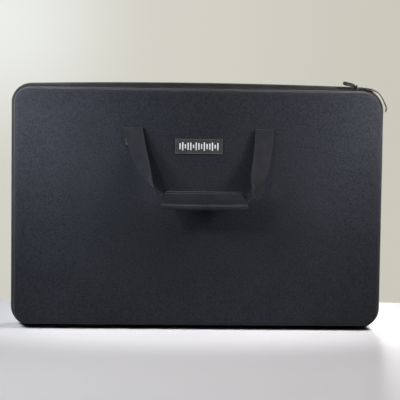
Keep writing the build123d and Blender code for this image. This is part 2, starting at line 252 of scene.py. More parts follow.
def lining_fleece():
    finish = Finish("lining_fleece")
    _, vector = finish.coordinates()
    nap = finish.noise(vector, 700.0, 4.0, 0.7)
    swirl = finish.noise(vector, 22.0, 3.0, 0.6)
    colour = finish.blend((nap * 0.6 + swirl * 0.5).smooth(0.3, 0.8), grey(0.016), grey(0.045))
    normal = finish.bump(nap + swirl * 0.4, 0.5 * MM, 0.8)
    return finish.done(colour, 0.92, normal, sheen=0.25, level=0.2)


def ribbed_webbing(name, dark, light, width=38.0):
    """Woven tape: ribs across it and fine yarns along it, with a painted highlight along its edges. U is
    metres across, V along.
    """
    finish = Finish(name)
    (u, v, _), _ = finish.coordinates(uv=True)
    _, place = finish.coordinates()
    ribs = (v * (2 * math.pi / (1.9 * MM))).sine() * 0.5 + 0.5
    yarns = (u * (2 * math.pi / (1.25 * MM))).sine() * 0.5 + 0.5
    fuzz = finish.noise(place, 900.0, 3.0, 0.6)
    tone = finish.noise(place, 38.0, 3.0, 0.55)
    # Painted highlight: the colour is made lighter near both edges of the tape.
    edge = (abs(u) / (width / 2 * MM)).smooth(0.86, 0.97)
    shade = ribs * 0.28 + yarns * 0.20 + fuzz * 0.35 + tone * 0.45 + edge * 0.12 - 0.32
    colour = finish.blend(shade.smooth(0.0, 0.8), dark, light)
    height = ribs * 0.7 + yarns * 0.35 + fuzz * 0.25
    return finish.done(colour, 0.70 + fuzz * 0.15, finish.bump(height, 0.4 * MM, 0.9), sheen=0.05, level=0.12)


def cloth(name, dark, light, pitch, depth=0.3, rough=0.78, sheen=0.1):
    """A plain woven cloth for bindings, tapes and the grip."""
    finish = Finish(name)
    weave, vector = woven(finish, pitch * MM)
    fuzz = finish.noise(vector, 800.0, 3.0, 0.6)
    tone = finish.noise(vector, 30.0, 3.0, 0.55)
    colour = finish.blend((weave * 0.14 + fuzz * 0.45 + tone * 0.5 - 0.1).smooth(0.1, 0.75), dark, light)
    normal = finish.bump(weave + fuzz * 0.7, depth * MM, 0.8)
    return finish.done(colour, rough + fuzz * 0.1, normal, sheen=sheen, level=0.12)


def foam_finish():
    finish = Finish("foam")
    _, vector = finish.coordinates()
    pores = finish.cells(vector, 620.0)
    tone = finish.noise(vector, 16.0, 3.0, 0.5)
    colour = finish.blend((pores * 0.9 + tone * 0.4).smooth(0.1, 0.9), grey(0.020), grey(0.055))
    return finish.done(colour, 0.93, finish.bump(pores, 0.6 * MM, 0.9), level=0.2)


def smooth_plastic(name, dark, light, rough, coat=0.0, level=0.5):
    finish = Finish(name)
    _, vector = finish.coordinates()
    grain = finish.noise(vector, 650.0, 3.0, 0.6)
    wear = finish.noise(vector, 60.0, 4.0, 0.65)
    colour = finish.blend((grain * 0.5 + wear * 0.5).smooth(0.3, 0.8), dark, light)
    normal = finish.bump(grain, 0.08 * MM, 0.6)
    return finish.done(colour, rough + wear * 0.12, normal, coat=coat, level=level)


def painted_metal():
    """Black paint on zinc, worn bright in small places."""
    finish = Finish("painted_metal")
    _, vector = finish.coordinates()
    wear = finish.noise(vector, 240.0, 5.0, 0.7).smooth(0.60, 0.72)
    grain = finish.noise(vector, 1500.0, 2.0, 0.5)
    colour = finish.blend(wear, (0.014, 0.014, 0.015, 1), (0.11, 0.105, 0.095, 1))
    normal = finish.bump(grain, 0.05 * MM, 0.5)
    return finish.done(colour, 0.34 + grain * 0.15, normal, metallic=wear * 0.6 + 0.2, coat=0.2)


def braided_cord():
    finish = Finish("braided_cord")
    (x, _, z), vector = finish.coordinates()
    turns = 2 * math.pi / (1.5 * MM)
    plait = ((x + z) * turns).sine() * ((x - z) * turns).sine()
    fuzz = finish.noise(vector, 1200.0, 2.0, 0.6)
    colour = finish.blend((plait * 0.3 + fuzz).smooth(0.2, 0.9), grey(0.010), grey(0.05, 0.06))
    return finish.done(colour, 0.8, finish.bump(plait + fuzz, 0.25 * MM, 0.9), sheen=0.1)


def thread_finish(name, shade):
    finish = Finish(name)
    _, vector = finish.coordinates()
    twist = finish.noise(vector, 1800.0, 2.0, 0.5)
    colour = finish.blend(twist.smooth(0.3, 0.7), grey(shade * 0.6), grey(shade * 1.3))
    return finish.done(colour, 0.6, finish.bump(twist, 0.1 * MM, 0.8), sheen=0.1)


def hook_and_loop():
    finish = Finish("hook_and_loop")
    _, vector = finish.coordinates()
    hooks = finish.cells(vector, 900.0)
    colour = finish.blend(hooks.smooth(0.1, 0.7), grey(0.006), grey(0.035))
    return finish.done(colour, 0.85, finish.bump(hooks, 0.6 * MM, 1.0), sheen=0.2)


SHELL = shell_cloth()
FLEECE = lining_fleece()
WEBBING = ribbed_webbing("webbing", (0.0046, 0.0050, 0.0062, 1), (0.0225, 0.0236, 0.0288, 1))
# The binding and the piping are the same rim cloth in lighter greys than the shell: painted highlight for the
# light that the rims and their beads catch from above, strongest on the piping.
BINDING_PAINTED_HIGHLIGHT = cloth("binding", grey(0.018), grey(0.060), 0.9)
PIPING_PAINTED_HIGHLIGHT = cloth("piping", grey(0.030), grey(0.100), 0.9)
TAPE = cloth("zip_tape", grey(0.006), grey(0.022), 0.8)
HINGE = cloth("hinge_cloth", grey(0.010), grey(0.034), 1.4)
GRIP = cloth("grip_cloth", (0.0030, 0.0034, 0.0044, 1), (0.0126, 0.0136, 0.0164, 1), 1.2, 0.4, sheen=0.02)
HEM = cloth("hem_tape", (0.0090, 0.0097, 0.0113, 1), (0.031, 0.0325, 0.0368, 1), 0.9, 0.3, sheen=0.04)
FOAM = foam_finish()
NYLON = smooth_plastic("nylon_teeth", grey(0.010), grey(0.030), 0.38)
STIFFENER = smooth_plastic("stiffener", grey(0.02), grey(0.04), 0.55)
RUBBER = smooth_plastic("badge_rubber", grey(0.024), grey(0.042), 0.58, level=0.12)
RAISED = smooth_plastic("raised_rubber", grey(0.036), grey(0.060), 0.58, level=0.12)
PRINT = smooth_plastic("badge_print", grey(0.44, -0.02), grey(0.62, -0.02), 0.55, level=0.2)
METAL = painted_metal()
CORD = braided_cord()
THREAD = thread_finish("thread", 0.055)
HOOKS = hook_and_loop()


# ---------------------------------------------------------------- tools


def fresh():
    """Nothing selected, object mode."""
    if bpy.context.object and bpy.context.object.mode != "OBJECT":
        bpy.ops.object.mode_set(mode="OBJECT")
    bpy.ops.object.select_all(action="DESELECT")


def only(piece):
    fresh()
    piece.select_set(True)
    bpy.context.view_layer.objects.active = piece


def edit(action="SELECT"):
    """Edit mode, with everything selected or nothing."""
    bpy.ops.object.mode_set(mode="EDIT")
    bpy.ops.mesh.select_all(action=action)


def leave():
    bpy.ops.object.mode_set(mode="OBJECT")


def named(name):
    piece = bpy.context.object
    piece.name = name
    piece.data.name = name
    return piece


def settle(piece):
    """Puts the object at the origin, unturned and unscaled, with its place in its mesh."""
    only(piece)
    bpy.ops.object.transform_apply(location=True, rotation=True, scale=True)
    return piece


def finish_piece(piece, material, angle=35.0):
    """Applies what modifiers are left, shades it and gives it its material."""
    only(piece)
    for modifier in list(piece.modifiers):
        bpy.ops.object.modifier_apply(modifier=modifier.name)
    bpy.ops.object.transform_apply(location=True, rotation=True, scale=True)
    bpy.ops.object.shade_smooth_by_angle(angle=math.radians(angle))
    piece.data.materials.clear()
    piece.data.materials.append(material)
    return piece


def put(name, data):
    """A new object in the scene with some data."""
    piece = bpy.data.objects.new(name, data)
    bpy.context.scene.collection.objects.link(piece)
    return piece


def mesh_piece(name, points, faces):
    """A new piece from points and faces."""
    data = bpy.data.meshes.new(name)
    data.from_pydata([tuple(p) for p in points], [], faces)
    data.update()
    return put(name, data)


def thicken(piece, thickness, offset=-1.0):
    modifier = piece.modifiers.new("wall", "SOLIDIFY")
    modifier.thickness = thickness
    modifier.offset = offset
    modifier.use_even_offset = True


def round_edges(piece, width, segments=2, angle=40.0):
    modifier = piece.modifiers.new("edges", "BEVEL")
    modifier.width = width
    modifier.segments = segments
    modifier.limit_method = "ANGLE"
    modifier.angle_limit = math.radians(angle)


def smooth_more(piece, levels=1):
    modifier = piece.modifiers.new("smooth", "SUBSURF")
    modifier.levels = levels
    modifier.render_levels = levels


def join(pieces, name):
    only(pieces[0])
    for piece in pieces[1:]:
        piece.select_set(True)
    bpy.ops.object.join()
    return named(name)


def block(name, low, high):
    """A box between two corners, to be shaped further."""
    fresh()
    middle = (Vector(low) + Vector(high)) / 2
    bpy.ops.mesh.primitive_cube_add(size=1, location=middle)
    piece = named(name)
    piece.dimensions = Vector(high) - Vector(low)
    return settle(piece)


def select_faces(piece, test):
    """In edit mode, selects the faces that pass a test of centre and normal."""
    only(piece)
    bpy.ops.object.mode_set(mode="EDIT")
    bpy.ops.mesh.select_mode(type="FACE")
    bpy.ops.mesh.select_all(action="DESELECT")
    mesh = bmesh.from_edit_mesh(piece.data)
    for face in mesh.faces:
        face.select = test(face.calc_center_median(), face.normal)
    bmesh.update_edit_mesh(piece.data)


# ---------------------------------------------------------------- outlines


def rim_bottom(grow):
    return LID_LIFT * (1 - grow / RIM_STEP)


def rim_path(grow, depth, crown=0.0, clear=0.0, step=0.006):
    """Points round the case from the hinge's left end, over the top, to its right end.

    clear is how far above the floor the path stays at least.
    """
    half = HALF + grow
    top = FACE_TOP + grow
    low = max(rim_bottom(grow), clear)
    radius = CORNER + CORNER_SPREAD * grow
    wide = radius + ZIP_CORNER_EXTRA
    y = PARTING_Y + depth

    def run(a, b):
        count = max(2, round((Vector(b) - Vector(a)).length / step))
        return [Vector(a).lerp(Vector(b), k / count) for k in range(count)]

    def arc(centre, r, start):
        count = 14
        angles = [math.radians(start - 90 * k / count) for k in range(count)]
        return [Vector((centre[0] + r * math.cos(a), y, centre[1] + r * math.sin(a))) for a in angles]

    points = run((-ZIP_END, y, low), (-half + radius, y, low))
    points += arc((-half + radius, low + radius), radius, 270)
    points += run((-half, y, low + radius), (-half, y, top - radius))
    points += arc((-half + radius, top - radius), radius, 180)
    points += run((-half + radius, y, top), (half - wide, y, top))
    points += arc((half - wide, top - wide), wide, 90)
    points += run((half, y, top - wide), (half, y, low + radius))
    points += arc((half - radius, low + radius), radius, 0)
    points += run((half - radius, y, low), (ZIP_END, y, low))
    points.append(Vector((ZIP_END, y, low)))
    for point in points:
        share = max(0.0, 1 - (point.x / half) ** 2)
        lift = max(0.0, (point.z - top + CROWN_REACH) / CROWN_REACH)
        point.z += crown * share * lift
    return points


def skin(name, paths):
    """A strip of faces between paths of equal length, with U across and V along in metres."""
    count = len(paths[0])
    points = [p for path in paths for p in path]
    faces = []
    for row in range(len(paths) - 1):
        for k in range(count - 1):
            a = row * count + k
            faces.append((a, a + 1, a + count + 1, a + count))
    piece = mesh_piece(name, points, faces)
    along = [0.0]
    for before, after in zip(paths[0], paths[0][1:]):
        along.append(along[-1] + (after - before).length)
    across = [0.0]
    for one, other in zip(paths, paths[1:]):
        across.append(across[-1] + (other[0] - one[0]).length)
    uv = piece.data.uv_layers.new(name="UVMap")
    for loop in piece.data.loops:
        row, k = divmod(loop.vertex_index, count)
        uv.data[loop.index].uv = (across[row] - across[-1] / 2, along[k])
    return piece


def outward(piece):
    """Turns an open or closed skin so that its faces look away from the case's middle."""
    only(piece)
    edit()
    bpy.ops.mesh.remove_doubles(threshold=1e-6)
    bpy.ops.mesh.normals_make_consistent(inside=False)
    leave()
    return piece


def tube(name, path, radius):
    """A round cord or bead along a path."""
    data = bpy.data.curves.new(name, "CURVE")
    data.dimensions = "3D"
    data.bevel_depth = radius
    data.bevel_resolution = 2
    data.use_fill_caps = True
    spline = data.splines.new("POLY")
    spline.points.add(len(path) - 1)
    for spot, point in zip(spline.points, path):
        spot.co = (*point, 1)
    only(put(name, data))
    bpy.ops.object.convert(target="MESH")
    return bpy.context.object


def along(path, pitch, start=0.0):
    """Evenly spaced places along a path: position and direction."""
    spots = []
    wanted = start
    gone = 0.0
    for before, after in zip(path, path[1:]):
        length = (after - before).length
        while wanted <= gone + length and length > 0:
            way = (after - before).normalized()
            spots.append((before.lerp(after, (wanted - gone) / length), way))
            wanted += pitch
        gone += length
    return spots


def repeated(name, pattern, places):
    """One piece made of copies of a pattern piece, each at a 4x4 placing matrix."""
    source = bmesh.new()
    source.from_mesh(pattern.data)
    points = [v.co.copy() for v in source.verts]
    faces = [[v.index for v in f.verts] for f in source.faces]
    source.free()
    all_points = []
    all_faces = []
    for matrix in places:
        shift = len(all_points)
        all_points += [matrix @ p for p in points]
        all_faces += [[i + shift for i in f] for f in faces]
    made = mesh_piece(name, all_points, all_faces)
    bpy.data.objects.remove(pattern)
    return made


def frame_of(origin, way, up):
    """A placing matrix with X along way and Z near up."""
    x = way.normalized()
    y = up.cross(x).normalized()
    z = x.cross(y)
    return Matrix.Translation(origin) @ Matrix((x, y, z)).transposed().to_4x4()


# ---------------------------------------------------------------- shells

NEAR = 1e-4
ROUND_STEPS = 6
LONG_EDGE = 0.1
LINING_GAP = 0.0003
LID_LEAN_SHARE = 0.75
BASE_LEAN = 0.0012
# Rings of the face from its edge inwards: how much each shrinks, and its share of the crown.
FACE_RINGS = ((0.97, 0.12), (0.93, 0.22), (0.85, 0.28), (0.7, 0.22), (0.5, 0.12), (0.3, 0.04))


def case_form(name, grow, bottom, depth, front, wall, rounding, crown, flat_bottom):
    """One half of the case as an open skin: an outline, drawn out and drawn in to its face.

    front is -1 for the lid and 1 for the base; wall is how far the wall leans in over its run.
    """
    half = HALF + grow
    top = FACE_TOP + grow
    radius = CORNER + CORNER_SPREAD * grow
    fresh()
    middle = (0, PARTING_Y + depth, (top + bottom) / 2)
    turn = math.radians(90 if front < 0 else -90)
    bpy.ops.mesh.primitive_plane_add(size=1, location=middle, rotation=(turn, 0, 0))
    piece = named(name)
    piece.scale = (2 * half, top - bottom, 1)
    settle(piece)
    for wide in (True, False):
        bpy.ops.object.mode_set(mode="EDIT")
        bpy.ops.mesh.select_mode(type="VERT")
        bpy.ops.mesh.select_all(action="DESELECT")
        mesh = bmesh.from_edit_mesh(piece.data)
        for vert in mesh.verts:
            zip_corner = vert.co.x > half - NEAR and vert.co.z > top - NEAR
            off_side = abs(abs(vert.co.x) - half)
            off_level = min(abs(vert.co.z - top), abs(vert.co.z - bottom))
            vert.select = max(off_side, off_level) < NEAR and zip_corner == wide
        bmesh.update_edit_mesh(piece.data)
        size = radius + ZIP_CORNER_EXTRA if wide else radius
        bpy.ops.mesh.bevel(offset=size, segments=12, affect="VERTICES", clamp_overlap=False)
        leave()
    edit("DESELECT")
    mesh = bmesh.from_edit_mesh(piece.data)
    long_edges = [e for e in mesh.edges if e.calc_length() > LONG_EDGE]
    bmesh.ops.subdivide_edges(mesh, edges=long_edges, cuts=31, use_grid_fill=False)
    for vert in mesh.verts:
        lift = max(0.0, (vert.co.z - top + CROWN_REACH) / CROWN_REACH)
        vert.co.z += crown * max(0.0, 1 - (vert.co.x / half) ** 2) * lift
    bmesh.update_edit_mesh(piece.data)
    bpy.ops.mesh.select_mode(type="FACE")
    bpy.ops.mesh.select_all(action="SELECT")
    for lean, run in wall:
        bpy.ops.mesh.inset(thickness=max(lean, 1e-5), depth=run, use_even_offset=True)
        if flat_bottom:
            height = top - bottom
            bpy.ops.transform.resize(value=(1, 1, height / (height - lean)), center_override=(0, 0, top))
    for step in range(ROUND_STEPS):
        a = math.pi / 2 * step / ROUND_STEPS
        b = math.pi / 2 * (step + 1) / ROUND_STEPS
        lean = rounding * (math.cos(a) - math.cos(b))
        bpy.ops.mesh.inset(thickness=lean, depth=rounding * (math.sin(b) - math.sin(a)), use_even_offset=True)
    centre = (0, 0, (top + bottom) / 2)
    for size, run in FACE_RINGS:
        rise = (0, front * run * FACE_CROWN, 0)
        bpy.ops.mesh.extrude_region_move(TRANSFORM_OT_translate={"value": rise})
        bpy.ops.transform.resize(value=(size, 1, size), center_override=centre)
    leave()
    return piece


def lid_form(name, inset):
    """The lid's skin, moved inwards by inset."""
    lean = LID_STEP * LID_LEAN_SHARE
    straight = LID_DEPTH + LID_EDGE - LID_ROUND - FACE_CROWN - inset
    wall = [(lean / 4, straight / 4)] * 4
    bottom = rim_bottom(LID_STEP) + inset
    return case_form(name, LID_STEP - inset, bottom, LID_EDGE, -1, wall, LID_ROUND, 0.0, False)


def base_form(name, inset):
    """The base's skin, moved inwards by inset."""
    straight = BASE_DEPTH - BASE_EDGE - BACK_ROUND - FACE_CROWN - inset
    wall = [(BASE_LEAN, straight / 5)] * 5
    return case_form(name, RIM_STEP - inset, inset, BASE_EDGE, 1, wall, BACK_ROUND, RIM_CROWN, True)


def shells():
    """Moulded foam shells in a woven cloth, and their fleece linings."""
    for half, form in (("lid", lid_form), ("base", base_form)):
        shell = form(half + "_moulded_shell", 0.0)
        thicken(shell, WALL)
        finish_piece(shell, SHELL, 40)
        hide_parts(half + "_shell")
        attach(shell, half)
        lining = form(half + "_fleece_lining", WALL + LINING_GAP)
        thicken(lining, LINING)
        finish_piece(lining, FLEECE, 40)
        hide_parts(half + "_lining")
        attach(lining, half)


# ---------------------------------------------------------------- rims and zip

# Cross-sections of the two bindings: how far out and how deep, across the tape.
LID_BINDING = [
    (0.0026, -0.0172), (0.0035, -0.0170), (0.0043, -0.0130),
    (0.0045, -0.0095), (0.0040, -0.0084), (0.0020, -0.0082),
]
BASE_BINDING = [
    (0.0098, 0.0004), (0.0112, 0.0002), (0.0122, 0.0012),
    (0.0123, 0.0050), (0.0118, 0.0090), (0.0108, 0.0092),
]
BINDING_THICK = 0.0008
TAPE_CLEAR = 0.0005
STITCH_CLEAR = 0.0006
STITCH_PITCH = 0.0042
STITCH_LENGTH = 0.0028
STITCH_RADIUS = 0.0005
TOOTH = (0.0013, 0.0030, 0.0019)
TOOTH_ROUND = 0.0005
TOOTH_PITCH = 0.0021
TEETH_OFF_MIDDLE = 0.0017
# Cross-section of the hinge strip from the base's floor to the lid's: depth and height.
HINGE_PROFILE = [
    (0.0316, 0.00058), (0.024, 0.00058), (0.012, 0.00058), (0.0035, 0.00058),
    (0.0016, 0.0006), (0.0005, 0.00065), (-0.0008, 0.0009), (-0.0028, 0.0020),
    (-0.0058, 0.0042), (-0.009, 0.0064), (-0.014, 0.0070), (-0.024, 0.0077),
]
HINGE_THICK = 0.0010
HINGE_STATIONS = 40
ZIP_END_TAB_X = 0.259
ZIP_END_TAB_HALF = 0.0025


def binding(half, crown, profile, bead):
    """Tape sewn round a rim, over its edge, with a piping bead."""
    strip = skin(half + "_binding_tape", [rim_path(g, d, crown, clear=TAPE_CLEAR) for g, d in profile])
    outward(strip)
    thicken(strip, BINDING_THICK, 0.0)
    finish_piece(strip, BINDING_PAINTED_HIGHLIGHT, 50)
    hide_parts(half + "_rim_binding")
    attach(strip, half)
    grow, depth, radius = bead
    cord = tube(half + "_piping", rim_path(grow, depth, crown, clear=radius), radius)
    finish_piece(cord, PIPING_PAINTED_HIGHLIGHT, 60)
    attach(cord, half)


def stitches(name, path, normal_of):
    """A row of thread stitches along a path, each lying along it."""
    fresh()
    turn = (0, math.radians(90), 0)
    bpy.ops.mesh.primitive_cylinder_add(vertices=6, radius=STITCH_RADIUS, depth=STITCH_LENGTH, rotation=turn)
    pattern = settle(named(name + "_pattern"))
    edit("DESELECT")
    mesh = bmesh.from_edit_mesh(pattern.data)
    for face in mesh.faces:
        face.select = abs(face.normal.x) > 0.9
    bmesh.update_edit_mesh(pattern.data)
    bpy.ops.mesh.inset(thickness=STITCH_RADIUS * 0.5, depth=STITCH_RADIUS * 0.4)
    leave()
    spots = along(path, STITCH_PITCH, STITCH_PITCH / 2)
    places = [frame_of(spot, way, normal_of(way)) for spot, way in spots]
    made = repeated(name, pattern, places)
    return finish_piece(made, THREAD, 60)


BAND_LID = Vector((LID_STEP - 0.001, LID_EDGE))
BAND_BASE = Vector((RIM_STEP - 0.001, BASE_EDGE))
BAND_WAY = (BAND_BASE - BAND_LID).normalized()
BAND_WIDTH = (BAND_BASE - BAND_LID).length


def band_out(way):
    """The slanted zip band's outward direction where its path goes one way."""
    outwards = Vector((-way.z, 0, way.x)).normalized()
    return (outwards * BAND_WAY.y - Vector((0, BAND_WAY.x, 0))).normalized()


def coil_teeth(half, across, shift):
    """A row of nylon coil teeth: one tooth modelled and copied along the band."""
    fresh()
    bpy.ops.mesh.primitive_cube_add(size=1)
    tooth = named(half + "_tooth")
    tooth.dimensions = TOOTH
    settle(tooth)
    edit()
    bpy.ops.mesh.bevel(offset=TOOTH_ROUND, segments=2, affect="EDGES")
    leave()
    at = BAND_LID + BAND_WAY * across
    path = rim_path(at.x, at.y, step=0.004)
    places = [frame_of(spot, way, band_out(way)) for spot, way in along(path, TOOTH_PITCH, shift)]
    row = repeated(half + "_coil_teeth", tooth, places)
    finish_piece(row, NYLON, 40)
    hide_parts(half + "_zip_teeth")
    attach(row, half)


def zip_and_rims():
    binding("lid", 0.0, LID_BINDING, (0.0042, -0.0088, 0.0016))
    binding("base", RIM_CROWN, BASE_BINDING, (0.0114, 0.0006, 0.0012))
    middle = BAND_WIDTH / 2
    coil_teeth("lid", middle - TEETH_OFF_MIDDLE, 0.0005)
    coil_teeth("base", middle + TEETH_OFF_MIDDLE, 0.00155)
    for half, grow, depth, crown in (("lid", 0.0050, -0.0140, 0.0), ("base", 0.0128, 0.0062, RIM_CROWN)):
        path = rim_path(grow, depth, crown, clear=STITCH_CLEAR)
        row = stitches(half + "_rim_stitches", path, lambda way: Vector((-way.z, 0, way.x)))
        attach(row, half)
    for node in ("lid_zip_tape", "base_zip_tape"):
        paint(node, TAPE)


def paint(node, finish):
    """Gives a CAD node a better finish."""
    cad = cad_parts[node]
    cad.data.materials.clear()
    cad.data.materials.append(finish)


def hinge_cloth():
    """The fabric strip that joins the two halves along the floor."""
    sides = [HINGE_HALF * (2 * k / HINGE_STATIONS - 1) for k in range(HINGE_STATIONS + 1)]
    paths = []
    for depth, height in HINGE_PROFILE:
        paths.append([Vector((x, PARTING_Y + depth, height)) for x in sides])
    strip = skin("hinge_strip", paths)
    thicken(strip, HINGE_THICK, 0.0)
    finish_piece(strip, HINGE, 60)
    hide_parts("base_hinge_fabric", "lid_hinge_fabric")
    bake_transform(strip)


def zip_ends():
    """Folded fabric tabs over the zip's ends."""
    for side, word in ((-1, "left"), (1, "right")):
        x = side * ZIP_END_TAB_X
        low = (x - ZIP_END_TAB_HALF, -0.038, 0.0)
        high = (x + ZIP_END_TAB_HALF, -0.026, 0.00115)
        tab = block(word + "_zip_end", low, high)
        round_edges(tab, 0.0004, 2)
        finish_piece(tab, TAPE, 40)
        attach(tab, "base")
        if side < 0:
            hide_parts("zip_end_tabs")


# ---------------------------------------------------------------- webbing handles

ROOT_X = 0.136
ROOT_STITCH_HALF = 0.0145
ROOT_STITCH_LOW = 0.3870
ROOT_STITCH_HIGH = 0.4130
FOLD_OUT = 0.0042
FOLD_HEIGHT = 0.4195
BAR_HALF = 0.081
LEG_STEPS = 30
WEB = 0.038
WEB_THICK = 0.0019


def leg(side, front, shell_y, centre, tilt, lean, twist):
    """Stations of one leg: place, the direction across the webbing and the direction along it.

    It twists a quarter on the way, sooner where twist is small. lean is how far its upper part leans inwards.
    """
    fold = Vector((side * ROOT_X, shell_y + front * FOLD_OUT, FOLD_HEIGHT))
    end = centre + Vector((side * BAR_HALF, 0, 0))
    upper = fold + Vector((-side * lean, front * 0.006, -0.075))
    lower = end + Vector((side * (0.026 - lean / 2), -front * 0.003, 0.014))
    inwards = Vector((-side, 0, 0))
    forwards = Vector((0, front * math.cos(tilt), -math.sin(tilt)))
    stations = []
    a, b, c, d = fold, upper, lower, end
    for step in range(LEG_STEPS + 1):
        t = step / LEG_STEPS
        place = a * (1 - t) ** 3 + b * 3 * t * (1 - t) ** 2 + c * 3 * t * t * (1 - t) + d * t ** 3
        way = (b - a) * 3 * (1 - t) ** 2 + (c - b) * 6 * t * (1 - t) + (d - c) * 3 * t * t
        if step == LEG_STEPS:
            way = inwards
        way.normalize()
        turn = math.pi / 2 * t ** twist
        across = inwards * math.cos(turn) + forwards * math.sin(turn)
        across = (across - way * across.dot(way)).normalized()
        stations.append((place, across, way))
    return stations


def strap(name, front, shell_y, centre, tilt, nodes, left=(0, 1), right=(0, 1)):
    """One continuous strap from root to root, folded over at both."""
    inner = shell_y + front * 0.00105
    rise = [(inner, 0.3835), (inner, 0.395), (inner, 0.408), (inner, 0.4155)]
    rise += [(shell_y + front * 0.0016, 0.4192), (shell_y + front * 0.0027, 0.4205)]
    whole = []
    for side in (-1, 1):
        half = []
        for y, z in rise:
            half.append((Vector((side * ROOT_X, y, z)), Vector((-side, 0, 0)), Vector((0, 0, 1))))
        half += leg(side, front, shell_y, centre, tilt, *(left if side < 0 else right))
        if side > 0:
            half = [(p, -a, w) for p, a, w in half[::-1]]
        whole += half if side < 0 else half
    lines = [-0.5, -0.46, -0.3, -0.1, 0.1, 0.3, 0.46, 0.5]
    paths = []
    for share in lines:
        path = []
        for place, across, _ in whole:
            path.append(place + across * share * WEB)
        paths.append(path)
    made = skin(name, paths)
    thicken(made, WEB_THICK, 0.0)
    finish_piece(made, WEBBING, 50)
    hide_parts(*nodes)
    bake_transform(made)


def root_stitches(name, front, shell_y, body):
    """A box of stitches with a cross in it on each root."""
    rows = []
    y = shell_y + front * 0.0023
    for side in (-1, 1):
        low = Vector((side * ROOT_X - ROOT_STITCH_HALF, y, ROOT_STITCH_LOW))
        high = Vector((side * ROOT_X + ROOT_STITCH_HALF, y, ROOT_STITCH_HIGH))
        corners = [low, Vector((high.x, y, low.z)), high, Vector((low.x, y, high.z)), low, high]
        rows.append(corners)
        rows.append([corners[1], corners[3]])
    pieces = []
    out = Vector((0, front, 0))
    for number, row in enumerate(rows):
        pieces.append(stitches(f"{name}_{number}", row, lambda way: out))
    made = join(pieces, name)
    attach(made, body)


FRONT_CENTRE = Vector((0.011, FRONT_Y - 0.042, 0.276))
REAR_CENTRE = Vector((0, BACK_Y + 0.027, 0.276))
FRONT_TILT = math.radians(30)
REAR_TILT = math.radians(52)


def handles():
    strap("front_strap", -1, FRONT_Y, FRONT_CENTRE, FRONT_TILT,
          ["front_handle_strap", "front_handle_roots"], (0.014, 0.62), (0.003, 1.15))
    strap("rear_strap", 1, BACK_Y, REAR_CENTRE, REAR_TILT,
          ["rear_handle_strap", "rear_handle_roots"])
    root_stitches("front_root_stitches", -1, FRONT_Y, "lid")
    root_stitches("rear_root_stitches", 1, BACK_Y, "base")


# ---------------------------------------------------------------- grip wrap

GRIP_FRAME = Matrix.Translation(FRONT_CENTRE) @ Matrix.Rotation(FRONT_TILT, 4, "X")
GRIP_UP = (GRIP_FRAME.to_3x3() @ Vector((0, 0, 1))).normalized()
GRIP_STATIONS = 48
# Cross-sections in the grip's frame: y towards the case, z up.
GRIP_TOP = [
    (0.0255, 0.0004), (0.0258, 0.0030), (0.0240, 0.0052), (0.018, 0.0062),
    (0.009, 0.0066), (0.0, 0.0067), (-0.009, 0.0065), (-0.0165, 0.0058),
    (-0.0215, 0.0046), (-0.0245, 0.0028), (-0.0262, 0.0002), (-0.0268, -0.0028),
]
GRIP_HEM = [
    (-0.0228, 0.0049), (-0.0256, 0.0030), (-0.0276, 0.0004), (-0.0284, -0.0026),
    (-0.0280, -0.0046), (-0.0262, -0.0050), (-0.0252, -0.0034),
]
GRIP_UNDER = [
    (0.0240, -0.0016), (0.0200, -0.0040), (0.010, -0.0052), (0.0, -0.0054),
    (-0.010, -0.0052), (-0.018, -0.0044), (-0.0235, -0.0022),
]
HEM_DROOP = 0.0012
# Rows of stitches: place in the cross-section, half their length, and droop.
GRIP_ROWS = (
    ("grip_stitches_0", 0.0165, 0.0085, 0.079, 0.0),
    ("grip_stitches_1", 0.0085, 0.0089, 0.080, 0.0),
    ("hem_stitches", -0.0262, 0.0036, 0.086, HEM_DROOP),
)
SEAM_STATIONS = 16
SEAM_RADIUS = 0.0006


def wrap_sheet(name, profile, half_length, spread, swell):
    """A padded cloth from a cross-section in the grip's frame, longer towards its outer edge."""
    paths = []
    for y, z in profile:
        path = []
        for k in range(GRIP_STATIONS + 1):
            u = 2 * k / GRIP_STATIONS - 1
            long = half_length + spread * (0.025 - y) / 0.05
            edge = 1 - abs(u) ** 8
            ripple = 0.0006 * math.sin(7.3 * u + 60 * y) + 0.0004 * math.sin(17.0 * u - 90 * y)
            lift = swell * edge * (1 - (y / 0.03) ** 2) + ripple - 0.0007 * math.exp(-(u / 0.02) ** 2)
            path.append(GRIP_FRAME @ Vector((u * long, y, z + lift)))
        paths.append(path)
    return skin(name, paths)


def on_grip(y, z, half_length, droop):
    """A line along the grip from end to end, at one place of its cross-section."""
    line = []
    for k in range(GRIP_STATIONS + 1):
        u = 2 * k / GRIP_STATIONS - 1
        sag = droop * (1 - u * u)
        line.append(GRIP_FRAME @ Vector((u * half_length, y, z - sag)))
    return line


def cloth_layer(piece, thickness, offset, material):
    """Thickens, smooths and finishes one cloth of the grip."""
    outward(piece)
    thicken(piece, thickness, offset)
    smooth_more(piece)
    finish_piece(piece, material, 60)


